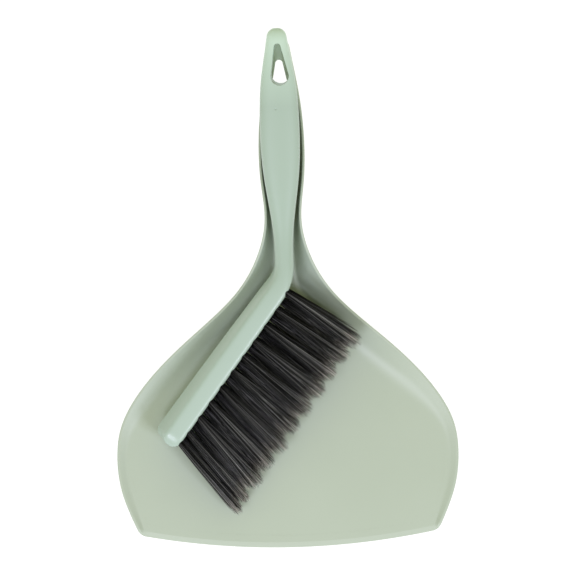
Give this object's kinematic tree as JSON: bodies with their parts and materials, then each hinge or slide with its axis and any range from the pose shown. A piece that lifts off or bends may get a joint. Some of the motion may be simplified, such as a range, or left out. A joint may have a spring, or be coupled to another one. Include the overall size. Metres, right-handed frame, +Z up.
{
  "type": "dustpan and brush",
  "caption": "Hand dustpan with a bell-shaped outline and a channelled handle, and a matching angled hand brush that nests on its side in the pan.",
  "frame": {"origin": "on the surface that the pan lies on, under the middle of the set's bounding box", "axes": "+Y along the pan's handle, away from the lip; +X towards the bristles' side; +Z up"},
  "size_m": [0.218, 0.3299, 0.0545],
  "materials": {
    "pan_plastic": "fine satin moulded polypropylene, sage green",
    "brush_plastic": "smooth glossy moulded polypropylene, mint green",
    "bristle_filament": "crimped dark grey synthetic filament, paler at the tips",
    "staple_wire": "bright flat wire"
  },
  "bodies": {
    "dustpan": {"dustpan": "pan_plastic"},
    "brush": {"brush_body": "brush_plastic", "staples_row_1": "staple_wire", "staples_row_2": "staple_wire", "staples_row_3": "staple_wire", "staples_row_4": "staple_wire", "tuft_row_1_01": "bristle_filament", "tuft_row_1_02": "bristle_filament", "tuft_row_1_03": "bristle_filament", "tuft_row_1_04": "bristle_filament", "tuft_row_1_05": "bristle_filament", "tuft_row_1_06": "bristle_filament", "tuft_row_1_07": "bristle_filament", "tuft_row_1_08": "bristle_filament", "tuft_row_1_09": "bristle_filament", "tuft_row_1_10": "bristle_filament", "tuft_row_1_11": "bristle_filament", "tuft_row_2_01": "bristle_filament", "tuft_row_2_02": "bristle_filament", "tuft_row_2_03": "bristle_filament", "tuft_row_2_04": "bristle_filament", "tuft_row_2_05": "bristle_filament", "tuft_row_2_06": "bristle_filament", "tuft_row_2_07": "bristle_filament", "tuft_row_2_08": "bristle_filament", "tuft_row_2_09": "bristle_filament", "tuft_row_2_10": "bristle_filament", "tuft_row_3_01": "bristle_filament", "tuft_row_3_02": "bristle_filament", "tuft_row_3_03": "bristle_filament", "tuft_row_3_04": "bristle_filament", "tuft_row_3_05": "bristle_filament", "tuft_row_3_06": "bristle_filament", "tuft_row_3_07": "bristle_filament", "tuft_row_3_08": "bristle_filament", "tuft_row_3_09": "bristle_filament", "tuft_row_3_10": "bristle_filament", "tuft_row_3_11": "bristle_filament", "tuft_row_4_01": "bristle_filament", "tuft_row_4_02": "bristle_filament", "tuft_row_4_03": "bristle_filament", "tuft_row_4_04": "bristle_filament", "tuft_row_4_05": "bristle_filament", "tuft_row_4_06": "bristle_filament", "tuft_row_4_07": "bristle_filament", "tuft_row_4_08": "bristle_filament", "tuft_row_4_09": "bristle_filament", "tuft_row_4_10": "bristle_filament"}
  },
  "joints": [
    {"name": "brush_lift", "type": "slide", "parent": "dustpan", "child": "brush", "axis": [0, 0, 1], "range_m": [0, 0.09]}
  ]
}
